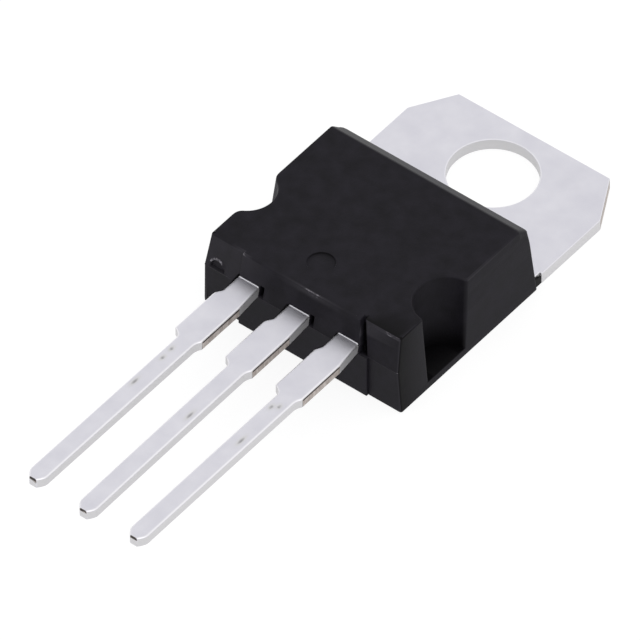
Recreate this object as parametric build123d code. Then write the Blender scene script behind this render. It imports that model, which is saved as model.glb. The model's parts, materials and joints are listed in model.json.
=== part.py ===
from build123d import *
from math import atan2, radians, sqrt, tan
import os

# Three-lead plastic power package holding a pair of rectifier diodes with a common cathode.
# Millimetres. The package lies on its back: the back of the metal tab is the plane z = 0.
# Origin: centre of the mounting hole, on the back of the tab.
# +X is to the right seen from the front, +Y towards the free edge of the tab, +Z out of the front.

# Metal tab
tab_width = 10.0
tab_thickness = 0.55
hole_diameter = 3.8
hole_to_tab_top = 2.7
tab_corner_cut_x = 1.15
tab_corner_cut_y_left = 1.9
tab_corner_cut_y_right = 2.12
tab_hole_edge_round = 0.08
entry_notch_depth = 0.12
entry_notch_length = 0.35

# Moulded body
hole_to_body = 3.58
body_side_overhang = 0.08
body_base_length = 8.68
moulding_above_leads = 1.1
side_draft = 7.0
rear_draft = 4.6
rear_chamfer_height = 0.41
rear_chamfer_depth = 0.57
end_draft_lower = 3.0
end_draft_upper = 11.5

# Raised pad on the lead end of the body; it reaches further to the right than to the left
pad_proud = 0.12
pad_beside_left_neck = 0.03
pad_beside_right_neck = 0.32
pad_step_at_parting = 0.1
gusset_width = 0.7
gusset_height = 0.85

# Tapered round notches in both sides of the body
notch_radius = 1.38
notch_draft = 4.2
notch_axis_outside_top_edge = 0.37
notch_to_end = 3.03
notch_lean = 0.2
notch_ledge = 0.36
notch_pair_shift = -0.1

# Marks left by the mould: the ejector pin on the top face and the gate on the lead end
ejector_diameter = 1.2
ejector_depth = 0.05
ejector_offset = -0.33
ejector_to_end = 1.6
gate_width = 0.7
gate_height = 0.5
gate_depth = 0.08
gate_to_side = 0.85

# Leads
lead_pitch = 2.54
lead_thickness = 0.5
lead_top_height = 2.65
lead_length = 13.7
neck_left = 0.53
neck_right = 0.56
wide_left = 0.79
wide_right = 0.58
narrow_width = 0.82
neck_length = 0.93
widening_length = 0.45
shoulder_start = 3.78
shoulder_length = 0.42
tip_taper_length = 0.42
tip_width = 0.36

# What the body holds inside
die_pad_to_notch = 0.16
die_pad_to_end = 2.4
strap_width = 1.5
strap_flat = 0.9
neck_inside_body = 0.35
post_width = 1.8
post_outward_shift = 0.4
post_to_end_face = 0.6
post_to_notch = 0.15
lock_hole_diameter = 0.5
die_size = 2.6
die_thickness = 0.25
die_shift_to_leads = 0.26
solder_thickness = 0.06
solder_margin = 0.1
wire_diameter = 0.38
wires_per_die = 2
wire_spacing = 0.8
wire_foot_length = 0.6
wire_sink = 0.05
wire_loop_cover = 0.35

# Places worked out from the sizes above
tab_half = tab_width / 2
tab_top_y = hole_to_tab_top
body_base_width = tab_width + 2 * body_side_overhang
body_height = lead_top_height + moulding_above_leads
body_rear_y = -hole_to_body
body_end_y = body_rear_y - body_base_length
parting_z = lead_top_height - lead_thickness
body_base_half = body_base_width / 2
body_top_half = body_base_half - body_height * tan(radians(side_draft))
end_parting_y = body_end_y - parting_z * tan(radians(end_draft_lower))
end_lean = (body_height - parting_z) * tan(radians(end_draft_upper))
end_top_y = end_parting_y + end_lean
pad_reach_left = lead_pitch + neck_left + pad_beside_left_neck
pad_reach_right = lead_pitch + neck_right + pad_beside_right_neck
pad_right_top = pad_reach_right - pad_step_at_parting - end_lean
lead_exit_y = end_parting_y - pad_proud + lead_thickness * tan(radians(end_draft_upper))
lead_tip_y = lead_exit_y - lead_length
die_pad_end_y = body_end_y + die_pad_to_end
die_top = tab_thickness + solder_thickness + die_thickness
die_centre_y = (body_rear_y + die_pad_end_y) / 2 - die_shift_to_leads
notch_x = body_top_half + notch_axis_outside_top_edge
notch_y = body_end_y + notch_to_end
notch_bottom_radius = notch_radius - (body_height - notch_ledge) * tan(radians(notch_draft))
die_pad_half = notch_x - abs(notch_pair_shift) - notch_bottom_radius - die_pad_to_notch
die_centre_x = die_pad_half / 2
post_centre_x = lead_pitch + post_outward_shift
post_front_y = body_end_y + post_to_end_face
post_reach = notch_radius + post_to_notch
post_corner_to_axis = min(notch_x - abs(notch_pair_shift) - post_centre_x - post_width / 2, post_reach)
post_rear_y = notch_y - sqrt(post_reach ** 2 - post_corner_to_axis ** 2)


def plate(outline, bottom, thickness):
    """Flat plate: the closed plan outline, raised from the height bottom by thickness."""
    face = make_face(Plane.XY.offset(bottom) * Polyline(*outline, close=True))
    return extrude(face, amount=thickness)


def prism_along_x(outline, x_low, x_high):
    """Solid whose section is the closed outline of (y, z) points, from x_low to x_high."""
    points = [(x_low, y, z) for y, z in outline]
    return extrude(make_face(Polyline(*points, close=True)), amount=x_high - x_low, dir=(1, 0, 0))


def prism_along_y(outline, y_low, y_high):
    """Solid whose section is the closed outline of (x, z) points, from y_low to y_high."""
    points = [(x, y_low, z) for x, z in outline]
    return extrude(make_face(Polyline(*points, close=True)), amount=y_high - y_low, dir=(0, 1, 0))


def lead_outline(centre_x, start_y):
    """Plan outline of one lead from start_y inside the body to its tip: neck, wide part, shoulder, point."""
    widening_y = lead_exit_y - neck_length
    wide_y = widening_y - widening_length
    shoulder_y = lead_exit_y - shoulder_start
    narrow_y = shoulder_y - shoulder_length
    taper_y = lead_tip_y + tip_taper_length
    half_narrow = narrow_width / 2
    right = [
        (neck_right, start_y),
        (neck_right, widening_y),
        (wide_right, wide_y),
        (wide_right, shoulder_y),
        (half_narrow, narrow_y),
        (half_narrow, taper_y),
    ]
    left = [
        (-half_narrow, taper_y),
        (-half_narrow, narrow_y),
        (-wide_left, shoulder_y),
        (-wide_left, wide_y),
        (-neck_left, widening_y),
        (-neck_left, start_y),
    ]
    tip = [(tip_width / 2, lead_tip_y), (-tip_width / 2, lead_tip_y)]
    return [(centre_x + x, y) for x, y in right + tip + left]


def outer_lead(centre_x, start_y):
    """The flat stamped lead outside the body, with the bit of its neck that reaches back to start_y."""
    return plate(lead_outline(centre_x, start_y), parting_z, lead_thickness)


def side_lead(side):
    """Anode lead on one side: the lead and the bonding post it widens into inside the body."""
    post_length = post_rear_y - post_front_y
    post_middle_y = (post_front_y + post_rear_y) / 2
    post = Box(post_width, post_length, lead_thickness, align=(Align.CENTER, Align.CENTER, Align.MIN))
    lead = outer_lead(side * lead_pitch, post_front_y)
    lead += Pos(side * post_centre_x, post_middle_y, parting_z) * post
    lock_hole = Cylinder(lock_hole_diameter / 2, 3 * lead_thickness)
    lock_hole_x = side * (post_centre_x + post_width / 2 - lock_hole_diameter)
    lock_hole_y = post_front_y + lock_hole_diameter
    return lead - Pos(lock_hole_x, lock_hole_y, parting_z) * lock_hole


def tab_side(side, corner_cut_y):
    """One side of the tab's plan outline: cut top corner, notch at the body, narrower die pad inside it."""
    neck_y = body_rear_y - neck_inside_body
    notch_top = body_rear_y + entry_notch_length
    points = [
        (tab_half - tab_corner_cut_x, tab_top_y),
        (tab_half, tab_top_y - corner_cut_y),
        (tab_half, notch_top),
        (tab_half - entry_notch_depth, notch_top),
        (tab_half - entry_notch_depth, neck_y),
        (die_pad_half, neck_y),
        (die_pad_half, die_pad_end_y),
    ]
    return [(side * x, y) for x, y in points]


def tab_with_centre_lead():
    """One folded stamping: tab, die pad, the strap bent up at the pad's end, and the centre lead."""
    outline = tab_side(1, tab_corner_cut_y_right) + tab_side(-1, tab_corner_cut_y_left)[::-1]
    tab = plate(outline, 0, tab_thickness)
    tab -= Cylinder(hole_diameter / 2, 3 * tab_thickness)
    rim = [edge for edge in tab.edges().filter_by(GeomType.CIRCLE) if edge.center().Z > tab_thickness / 2]
    tab = fillet(rim, tab_hole_edge_round)
    strap_top_y = body_end_y + strap_flat
    half_fold = tan(atan2(parting_z, die_pad_end_y - strap_top_y) / 2)
    pad_fold_y = die_pad_end_y + tab_thickness * half_fold
    strap = prism_along_x(
        [
            (pad_fold_y, 0),
            (die_pad_end_y, 0),
            (strap_top_y, parting_z),
            (strap_top_y - strap_flat / 2, parting_z),
            (strap_top_y - strap_flat / 2, lead_top_height),
            (strap_top_y + lead_thickness * half_fold, lead_top_height),
            (pad_fold_y, tab_thickness),
        ],
        -strap_width / 2,
        strap_width / 2,
    )
    return tab + strap + outer_lead(0, strap_top_y)


def die(side):
    """Square silicon diode chip lying on its solder on the die pad."""
    block = Box(die_size, die_size, die_thickness, align=(Align.CENTER, Align.CENTER, Align.MIN))
    return Pos(side * die_centre_x, die_centre_y, tab_thickness + solder_thickness) * block


def die_solder(side):
    """Thin layer of solder between a chip and the die pad, a little larger than the chip."""
    width = die_size + 2 * solder_margin
    layer = Box(width, width, solder_thickness, align=(Align.CENTER, Align.CENTER, Align.MIN))
    return Pos(side * die_centre_x, die_centre_y, tab_thickness) * layer


def bond_wire(side, row, lead):
    """Thick wire from the top of a chip to a lead's post: a foot on each, and a loop between them."""
    offset = (row - (wires_per_die - 1) / 2) * wire_spacing
    x_die = side * die_centre_x + offset
    x_post = side * post_centre_x + offset
    z_die = die_top + wire_diameter / 2 - wire_sink
    z_post = lead_top_height + wire_diameter / 2 - wire_sink
    z_loop = body_height - wire_loop_cover - wire_diameter / 2
    y_die = die_centre_y
    y_post = post_rear_y - wire_foot_length
    corners = [
        (x_die, y_die + wire_foot_length / 2, z_die),
        (x_die, y_die - wire_foot_length / 2, z_die),
        ((x_die + x_post) / 2, (y_die + y_post) / 2 - wire_foot_length / 2, z_loop),
        (x_post, y_post, z_post),
        (x_post, y_post - wire_foot_length, z_post),
    ]
    path = FilletPolyline(*corners, radius=wire_diameter)
    section = Plane(origin=corners[0], z_dir=(0, -1, 0)) * Circle(wire_diameter / 2)
    return sweep(section, path=path) - die(side) - lead


def body_block():
    """Outer form of the body without its pad: drafted sides, chamfered rear, end face split at the parting line."""
    chamfer_z = body_height - rear_chamfer_height
    chamfer_y = body_rear_y - chamfer_z * tan(radians(rear_draft))
    side_view = [
        (body_rear_y, 0),
        (chamfer_y, chamfer_z),
        (chamfer_y - rear_chamfer_depth, body_height),
        (end_top_y, body_height),
        (end_parting_y, parting_z),
        (body_end_y, 0),
    ]
    front_view = [
        (-body_base_half, 0),
        (body_base_half, 0),
        (body_top_half, body_height),
        (-body_top_half, body_height),
    ]
    length = prism_along_x(side_view, -body_base_width, body_base_width)
    width = prism_along_y(front_view, 2 * body_end_y, 0)
    return length & width


def end_pad():
    """Raised pad that the leads come out of; above the parting line its right side leans in and steps back."""
    side_view = [
        (body_end_y + pad_proud, 0),
        (body_end_y - pad_proud, 0),
        (end_parting_y - pad_proud, parting_z),
        (end_top_y - pad_proud, body_height),
        (end_top_y + pad_proud, body_height),
        (end_parting_y + pad_proud, parting_z),
    ]
    front_view = [
        (-pad_reach_left, 0),
        (pad_reach_right, 0),
        (pad_reach_right, parting_z),
        (pad_reach_right - pad_step_at_parting, parting_z),
        (pad_right_top, body_height),
        (-pad_reach_left, body_height),
    ]
    length = prism_along_x(side_view, -body_base_half, body_base_half)
    width = prism_along_y(front_view, 2 * body_end_y, 0)
    return length & width


def pad_gusset():
    """Small three-sided web that fills the corner between the pad's right side and the top of the end block."""
    slope = tan(radians(end_draft_upper))
    low_z = body_height - gusset_height
    low_y = end_top_y - gusset_height * slope
    root = (pad_right_top, end_top_y, body_height)
    outer = (pad_right_top + gusset_width, end_top_y, body_height)
    lower = (pad_right_top + gusset_height * slope, low_y, low_z)
    proud = (pad_right_top, end_top_y - pad_proud, body_height)
    corners = [(root, outer, lower), (root, proud, outer), (root, lower, proud), (proud, lower, outer)]
    return Solid(Shell([make_face(Polyline(*three, close=True)).face() for three in corners]))


def side_notch(side):
    """Cutter for one side notch: it narrows downwards, leans to the lead end, and stops on a ledge."""
    x = side * notch_x + notch_pair_shift
    bottom = Pos(x, notch_y - notch_lean, notch_ledge) * Circle(notch_bottom_radius)
    top = Pos(x, notch_y, body_height) * Circle(notch_radius)
    return loft([bottom, top])


def ejector_mark():
    """Cutter for the round, shallow mark of the ejector pin on the top face."""
    disc = Cylinder(ejector_diameter / 2, ejector_depth, align=(Align.CENTER, Align.CENTER, Align.MAX))
    return Pos(ejector_offset, body_end_y + ejector_to_end, body_height) * disc


def gate_mark():
    """Cutter for the half-round pocket left on the left end block, just above the parting line."""
    wedge = Cylinder(gate_width / 2, 4 * gate_depth, rotation=(90, 0, 0))
    wedge = scale(wedge, by=(1, 1, 2 * gate_height / gate_width))
    above = Box(gate_width, 4 * gate_depth, gate_height, align=(Align.CENTER, Align.CENTER, Align.MIN))
    slope_y = gate_height / 2 * tan(radians(end_draft_upper))
    x = -body_base_half + gate_to_side
    return Pos(x, end_parting_y + slope_y - gate_depth, parting_z) * (wedge & above)


def moulded_body(inserts):
    """The epoxy body: its outer form with the marks and notches, less everything moulded into it."""
    body = body_block() + end_pad() + pad_gusset()
    for side in (-1, 1):
        body -= side_notch(side)
    body -= ejector_mark()
    body -= gate_mark()
    for insert in inserts:
        body -= insert
    return body


pieces = {"tab_and_centre_lead": tab_with_centre_lead()}
for side, name in ((-1, "left"), (1, "right")):
    pieces[name + "_lead"] = side_lead(side)
    pieces[name + "_die_solder"] = die_solder(side)
    pieces[name + "_die"] = die(side)
    for row in range(wires_per_die):
        wire_name = f"{name}_bond_wire_{row + 1}"
        pieces[wire_name] = bond_wire(side, row, pieces[name + "_lead"])
pieces["moulded_body"] = moulded_body(list(pieces.values()))

os.makedirs("parts", exist_ok=True)
for name, piece in pieces.items():
    export_step(piece, f"parts/{name}.step")
    print(name, len(piece.solids()), "solid", round(piece.volume, 3), "mm3")
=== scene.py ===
# %% [markdown]
# # A three-lead rectifier package on a pale table
# The object is a small power package: a flat stamped metal tab with a mounting hole, a black epoxy
# moulding over its lower half, and three flat tin-plated leads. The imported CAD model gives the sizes
# and places, and this notebook gives every surface its final form and finish.
# We load the frame first, because each later size is worked out from it.

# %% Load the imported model
import json

import bmesh
import bpy
import numpy as np
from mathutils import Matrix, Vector


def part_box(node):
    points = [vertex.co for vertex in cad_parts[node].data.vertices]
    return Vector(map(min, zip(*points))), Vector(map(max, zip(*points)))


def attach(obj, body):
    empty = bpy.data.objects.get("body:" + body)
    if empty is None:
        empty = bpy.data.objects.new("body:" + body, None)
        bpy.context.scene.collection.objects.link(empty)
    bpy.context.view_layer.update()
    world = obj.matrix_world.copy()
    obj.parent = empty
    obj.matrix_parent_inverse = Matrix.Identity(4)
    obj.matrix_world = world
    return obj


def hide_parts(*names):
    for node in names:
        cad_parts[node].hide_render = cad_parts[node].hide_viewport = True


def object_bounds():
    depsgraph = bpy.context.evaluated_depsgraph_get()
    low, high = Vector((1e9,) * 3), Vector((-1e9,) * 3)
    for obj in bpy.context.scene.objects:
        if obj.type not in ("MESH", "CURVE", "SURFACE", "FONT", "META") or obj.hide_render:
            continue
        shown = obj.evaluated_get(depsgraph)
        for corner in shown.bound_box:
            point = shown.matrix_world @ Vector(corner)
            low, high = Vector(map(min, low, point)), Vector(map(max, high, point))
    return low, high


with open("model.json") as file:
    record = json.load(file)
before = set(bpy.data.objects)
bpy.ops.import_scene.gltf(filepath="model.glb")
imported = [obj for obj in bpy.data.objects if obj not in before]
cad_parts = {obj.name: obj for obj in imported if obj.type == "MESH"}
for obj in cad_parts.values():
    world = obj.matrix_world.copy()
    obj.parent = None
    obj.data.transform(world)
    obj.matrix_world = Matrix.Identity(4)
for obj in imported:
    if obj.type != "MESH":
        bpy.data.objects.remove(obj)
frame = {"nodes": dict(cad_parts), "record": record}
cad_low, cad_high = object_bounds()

MM = 0.001
print("CAD box in mm:", [round(x / MM, 3) for x in (*cad_low, *cad_high)])

# %% [markdown]
# ## Sizes
# The boxes of the CAD nodes and the mounts give the sizes that the pieces share: half the width of the
# moulding, the height of the leads, the radius of the hole. What a box can't tell, such as a draft angle
# or the length of a shoulder on a lead, is a named value in millimetres. Most are the same as in the CAD
# source. The moulding's side draft, its lower end face, its pad and its notches are not, because these
# surfaces carry finer detail than the CAD solids do.

# %% Read the shared sizes from the frame
def box_mm(node):
    """Lowest and highest corner of a CAD node, in millimetres."""
    low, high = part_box(node)
    return np.array(low) / MM, np.array(high) / MM


mounts = {mount["name"]: mount for mount in frame["record"]["mounts"]}
body_high = box_mm("moulded_body")[1]
tab_low, tab_high = box_mm("tab_and_centre_lead")
lead_low, lead_high = box_mm("right_lead")

base_half = body_high[0]
body_height = body_high[2]
rear_y = body_high[1]
tab_half = tab_high[0]
tab_top_y = tab_high[1]
tip_y = tab_low[1]
lead_top = lead_high[2]
lead_bottom = lead_low[2]
lead_thickness = lead_top - lead_bottom
lead_pitch = mounts["right_lead_tip"]["pos_m"][0] / MM
hole_radius = mounts["tab_hole"]["dims"]["r_mm"]
tab_thickness = mounts["tab_hole"]["dims"]["length_mm"]
print("lead pitch", lead_pitch, "hole radius", hole_radius, "tab thickness", tab_thickness)

# %% [markdown]
# ## Helpers for colour, nodes and meshes
# Blender's shaders work in linear light, and a given colour is sRGB, so one function turns a hex
# value to linear. One more adds a shader node and wires it. Shapes are numpy grids: a surface is an array
# of rows by columns of points, and its faces join each point to its neighbours in the next row and
# column. Doing it on whole arrays keeps the code short and quick.

# %% Colour and node helpers
def linear(hex_colour):
    """sRGB hex to linear RGBA: below 0.04045 a value is divided by 12.92, above it the curve is a power of
    2.4.
    """
    srgb = np.array([int(hex_colour[start:start + 2], 16) for start in (1, 3, 5)]) / 255
    curved = ((srgb + 0.055) / 1.055) ** 2.4
    return (*np.where(srgb <= 0.04045, srgb / 12.92, curved), 1.0)


def add_node(tree, kind, inputs=None, **settings):
    """Adds a node. settings are its properties, and inputs its sockets: another node's socket is linked, a
    value is set.
    """
    node = tree.nodes.new(kind)
    for name, value in settings.items():
        setattr(node, name, value)
    for name, value in (inputs or {}).items():
        if isinstance(value, bpy.types.NodeSocket):
            tree.links.new(value, node.inputs[name])
        else:
            node.inputs[name].default_value = value
    return node


def mix_colour(tree, share, first, second):
    """The first colour where share is 0, the second where it is 1, and a mix between."""
    return add_node(tree, "ShaderNodeMix", {0: share, 6: first, 7: second}, data_type="RGBA").outputs[2]


def ramp(tree, value, start, full):
    """0 up to start, 1 from full on, and a straight line between."""
    return add_node(
        tree, "ShaderNodeMapRange", {"Value": value, "From Min": start, "From Max": full}
    ).outputs[0]


def spread(tree, share, low, high):
    """A share from 0 to 1 spread over the range from low to high."""
    return add_node(tree, "ShaderNodeMapRange", {"Value": share, "To Min": low, "To Max": high}).outputs[0]


def calculate(tree, operation, *numbers, **settings):
    """One step of arithmetic on numbers, which are sockets or plain values."""
    return add_node(
        tree, "ShaderNodeMath", dict(enumerate(numbers)), operation=operation, **settings
    ).outputs[0]


def new_material(name):
    """An empty node material with its output node."""
    material = bpy.data.materials.new(name)
    material.use_nodes = True
    material.node_tree.nodes.clear()
    return material, material.node_tree, add_node(material.node_tree, "ShaderNodeOutputMaterial")


print("tin grey in linear light:", [round(x, 3) for x in linear("#D8D7DE")])

# %% Grid helpers
def smooth(x):
    """Smooth step: 0 below 0, 1 above 1, and 3x^2 - 2x^3 between."""
    x = np.clip(x, 0, 1)
    return x * x * (3 - 2 * x)


def grid(points, values=0.0, ring=True, loop=False):
    """A grid part: points are rows x columns x 3, with a value each. ring joins the last column to the
    first, loop the last row to the first.
    """
    rows, columns = points.shape[:2]
    row = np.arange(rows if loop else rows - 1)[:, None]
    column = np.arange(columns if ring else columns - 1)[None, :]
    next_row = (row + 1) % rows
    next_column = (column + 1) % columns
    corners = [
        row * columns + column, row * columns + next_column, next_row * columns + next_column,
        next_row * columns + column,
    ]
    faces = np.stack([np.broadcast_to(c, (row.size, column.size)) for c in corners], -1).reshape(-1, 4)
    values = np.broadcast_to(values, (rows, columns)).ravel()
    return points.reshape(-1, 3), faces.tolist(), values


def cap(ring, value=0.0):
    """One flat many-sided face over a ring of points."""
    return ring, [list(range(len(ring)))], np.full(len(ring), value)


def fill_between(*rings):
    """Flat triangles that fill an outer ring of points less the inner rings, all at one height."""
    points = np.concatenate(rings)
    mesh = bmesh.new()
    for point in points:
        mesh.verts.new(point)
    mesh.verts.ensure_lookup_table()
    mesh.verts.index_update()
    first = 0
    for ring in rings:
        index = first + np.arange(len(ring))
        for a, b in zip(index, np.roll(index, -1)):
            mesh.edges.new((mesh.verts[a], mesh.verts[b]))
        first += len(ring)
    bmesh.ops.triangle_fill(mesh, use_beauty=True, edges=mesh.edges[:])
    faces = [[vert.index for vert in face.verts] for face in mesh.faces]
    mesh.free()
    return points, faces, np.zeros(len(points))


def make_piece(name, parts, material, nodes, attribute="edge", flat_angle=28):
    """Joins parts into one closed mesh in metres, merges shared points, turns faces outward and puts it in
    the scene.
    """
    points, faces, values, first = [], [], [], 0
    for part_points, part_faces, part_values in parts:
        points.append(part_points)
        faces += [[first + i for i in face] for face in part_faces]
        values.append(part_values)
        first += len(part_points)
    mesh = bpy.data.meshes.new(name)
    mesh.from_pydata((np.concatenate(points) * MM).tolist(), [], faces)
    mesh.attributes.new(attribute, "FLOAT", "POINT").data.foreach_set(
        "value", np.concatenate(values).astype(np.float32)
    )
    work = bmesh.new()
    work.from_mesh(mesh)
    bmesh.ops.remove_doubles(work, verts=work.verts[:], dist=1e-4 * MM)
    bmesh.ops.dissolve_degenerate(work, dist=1e-5 * MM, edges=work.edges[:])
    bmesh.ops.recalc_face_normals(work, faces=work.faces[:])
    open_edges = sum(not edge.is_manifold for edge in work.edges)
    work.to_mesh(mesh)
    work.free()
    mesh.shade_smooth()
    mesh.set_sharp_from_angle(angle=np.radians(flat_angle))
    mesh.materials.append(material)
    piece = bpy.data.objects.new(name, mesh)
    bpy.context.scene.collection.objects.link(piece)
    piece.modifiers.new("even_shading", "WEIGHTED_NORMAL").keep_sharp = True
    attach(piece, "root")
    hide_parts(*nodes)
    print(name, len(mesh.polygons), "faces,", open_edges, "open or doubled edges")
    return piece


print("grid of 3 x 4 points has", len(grid(np.zeros((3, 4, 3)))[1]), "faces as a tube")

# %% [markdown]
# ## Camera, table and light
# The camera looks down on the package from the front right, from far away through a very long lens, so
# that the leads stay almost parallel. A wide white sky lights it evenly, as in a light tent, and one
# soft lamp gives the edges a little direction. The table is white to the camera and to reflections. It is
# part diffuse and part glow, so the object's shadow stays, but faint.

# %% Camera
CAMERA_AZIMUTH = np.radians(38.47)
CAMERA_ELEVATION = np.radians(45.84)
CAMERA_DISTANCE = 0.7
CAMERA_LENS = 988.6
CAMERA_TARGET = Vector((-0.000662, -0.010323, 0.0))

back = Vector((
    np.sin(CAMERA_AZIMUTH) * np.cos(CAMERA_ELEVATION),
    -np.cos(CAMERA_AZIMUTH) * np.cos(CAMERA_ELEVATION),
    np.sin(CAMERA_ELEVATION),
))
camera = bpy.data.objects.new("camera", bpy.data.cameras.new("camera"))
camera.data.lens = CAMERA_LENS
camera.data.sensor_width = 36
camera.data.clip_start = 0.01
camera.location = CAMERA_TARGET + back * CAMERA_DISTANCE
camera.rotation_mode = "QUATERNION"
camera.rotation_quaternion = (-back).to_track_quat("-Z", "Y")
bpy.context.scene.collection.objects.link(camera)
bpy.context.scene.camera = camera
bpy.context.scene.view_settings.view_transform = "Standard"
print("camera at", [round(x, 3) for x in camera.location])

# %% Sky, lamp and table
SKY_STRENGTH = 1.0
LAMP_POWER = 0.35
LAMP_SIZE = 0.4
LAMP_PLACE = Vector((0.5, -0.3, 0.35))
TABLE_SIZE = 2.0
TABLE_GLOW = 0.86
TABLE_GAP = 0.01

world = bpy.data.worlds.new("white_tent")
bpy.context.scene.world = world
world.use_nodes = True
world.node_tree.nodes.clear()
sky = add_node(
    world.node_tree, "ShaderNodeBackground", {"Color": linear("#FFFFFF"), "Strength": SKY_STRENGTH}
)
add_node(world.node_tree, "ShaderNodeOutputWorld", {"Surface": sky.outputs[0]})

lamp = bpy.data.objects.new("soft_lamp", bpy.data.lights.new("soft_lamp", "AREA"))
lamp.data.energy = LAMP_POWER
lamp.data.size = LAMP_SIZE
lamp.location = LAMP_PLACE
lamp.rotation_mode = "QUATERNION"
lamp.rotation_quaternion = LAMP_PLACE.to_track_quat("Z", "Y")
bpy.context.scene.collection.objects.link(lamp)

table_paint, tree, output = new_material("white_table")
path = add_node(tree, "ShaderNodeLightPath")
seen = calculate(tree, "MAXIMUM", path.outputs["Is Camera Ray"], path.outputs["Is Glossy Ray"])
seen = calculate(tree, "MAXIMUM", seen, path.outputs["Is Transmission Ray"])
plain = add_node(tree, "ShaderNodeBsdfDiffuse", {"Color": linear("#E8E8E8")})
faint = add_node(tree, "ShaderNodeBsdfDiffuse", {"Color": linear("#787878")})
glow = add_node(tree, "ShaderNodeEmission", {"Color": linear("#FFFFFF"), "Strength": TABLE_GLOW})
bright = add_node(tree, "ShaderNodeAddShader", {0: faint.outputs[0], 1: glow.outputs[0]})
mixed = add_node(tree, "ShaderNodeMixShader", {0: seen, 1: plain.outputs[0], 2: bright.outputs[0]})
tree.links.new(mixed.outputs[0], output.inputs["Surface"])

half_table = TABLE_SIZE / 2
table_corners = [
    (-half_table, -half_table, 0), (half_table, -half_table, 0), (half_table, half_table, 0),
    (-half_table, half_table, 0),
]
table_mesh = bpy.data.meshes.new("table")
table_mesh.from_pydata(table_corners, [], [(0, 1, 2, 3)])
table_mesh.materials.append(table_paint)
table = bpy.data.objects.new("table", table_mesh)
table.location.z = cad_low.z - TABLE_GAP * MM
bpy.context.scene.collection.objects.link(table)
print("sky", SKY_STRENGTH, "lamp", LAMP_POWER, "W")

# %% [markdown]
# ## Matte tin plate
# The tab and the leads are copper strip, stamped and then plated with matte tin. Tin is a soft pale grey
# metal. The plating leaves grains of a few microns, so reflections are broad and the whole surface looks
# an even light grey. It could be a flat grey plastic, but only a metal shader darkens next to the black
# moulding as real plating does. Where the lead frame's tie bars were cut off after plating, bare copper
# shows. The mesh carries one value for all of this: -1 is a painted highlight, a paler tin along a rolled
# edge, 0 is plating, 0.2 a sheared side, greyer and less metallic partly for its thinner plating and
# partly as painted shade, 0.4 a grey rub, 1 cut copper, and 1.6 and up a dark line along the top of a cut
# side.

# %% Tin plate material
PLATING_MOTTLE = 0.9
PLATING_GRAIN = 0.07
PLATING_ROUGHNESS = (0.36, 0.44)
PLATING_BUMP = 0.2
SHEARED = 0.2
SMUDGED = 0.4
CUT_FROM, CUT_FULL = 0.5, 0.7
DARK_FROM, DARK_FULL = 1.3, 1.6
COPPER_STREAK = 0.12


def noise_on_object(tree, size_mm, detail=2.0, stretch=(1, 1, 1)):
    """Noise whose lumps are about size_mm across, on Object coordinates. stretch makes lumps longer along
    an axis.
    """
    place = add_node(tree, "ShaderNodeTexCoord")
    scale = [1 / (size_mm * MM * s) for s in stretch]
    mapping = add_node(tree, "ShaderNodeMapping", {"Vector": place.outputs["Object"], "Scale": scale})
    noise = add_node(
        tree, "ShaderNodeTexNoise", {"Vector": mapping.outputs[0], "Scale": 1.0, "Detail": detail}
    )
    return noise.outputs[0]


def tin_plate():
    """Matte tin over copper strip: a rough pale metal with a fine bump, and bare cut copper where the
    attribute says.
    """
    material, tree, output = new_material("matte_tin_plate")
    mottle = noise_on_object(tree, PLATING_MOTTLE, 7.0)
    colour = mix_colour(tree, mottle, linear("#CDCCD5"), linear("#E2E1E7"))
    rough = spread(tree, mottle, *PLATING_ROUGHNESS)
    grain = noise_on_object(tree, PLATING_GRAIN, 2.0)
    bump = add_node(
        tree, "ShaderNodeBump", {"Height": grain, "Strength": PLATING_BUMP, "Distance": 0.01 * MM}
    )
    plating_and_light = add_node(tree, "ShaderNodeAttribute", attribute_name="plating_and_light").outputs["Fac"]
    # Painted highlight: below 0 the value mixes in a paler tin along rolled edges and on the neck bead.
    is_painted_highlight = ramp(tree, plating_and_light, 0.0, -1.0)
    # Partly painted shade: sheared sides turn greyer and less metallic, for their thinner plating and as
    # shade.
    is_thin_plated_shaded_side = ramp(tree, plating_and_light, 0.0, SHEARED)
    colour = mix_colour(tree, is_painted_highlight, colour, linear("#F6F5F8"))
    colour = mix_colour(tree, is_thin_plated_shaded_side, colour, linear("#D0CFD1"))
    is_smudged = ramp(tree, plating_and_light, SHEARED, SMUDGED)
    colour = mix_colour(tree, is_smudged, colour, linear("#949396"))
    metallic = spread(tree, is_thin_plated_shaded_side, 1.0, 0.6)
    tin = add_node(tree, "ShaderNodeBsdfPrincipled", {
        "Base Color": colour, "Roughness": rough, "Metallic": metallic, "Normal": bump.outputs[0],
    })
    streak = noise_on_object(tree, COPPER_STREAK, 3.0, (1, 1, 3))
    copper_colour = mix_colour(tree, streak, linear("#6B584E"), linear("#E2DBD6"))
    cut = add_node(
        tree, "ShaderNodeBsdfPrincipled", {"Base Color": copper_colour, "Roughness": 0.55, "Metallic": 0.3}
    )
    # A dark line along the top of a cut side, for values from 1.3 up.
    dark_band = add_node(
        tree, "ShaderNodeBsdfPrincipled", {"Base Color": linear("#241C19"), "Roughness": 0.6}
    )
    is_cut = ramp(tree, plating_and_light, CUT_FROM, CUT_FULL)
    is_dark = ramp(tree, plating_and_light, DARK_FROM, DARK_FULL)
    plated = add_node(tree, "ShaderNodeMixShader", {0: is_cut, 1: tin.outputs[0], 2: cut.outputs[0]})
    whole = add_node(tree, "ShaderNodeMixShader", {0: is_dark, 1: plated.outputs[0], 2: dark_band.outputs[0]})
    tree.links.new(whole.outputs[0], output.inputs["Surface"])
    return material


tin = tin_plate()
print(tin.name, "has", len(tin.node_tree.nodes), "nodes")
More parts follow.
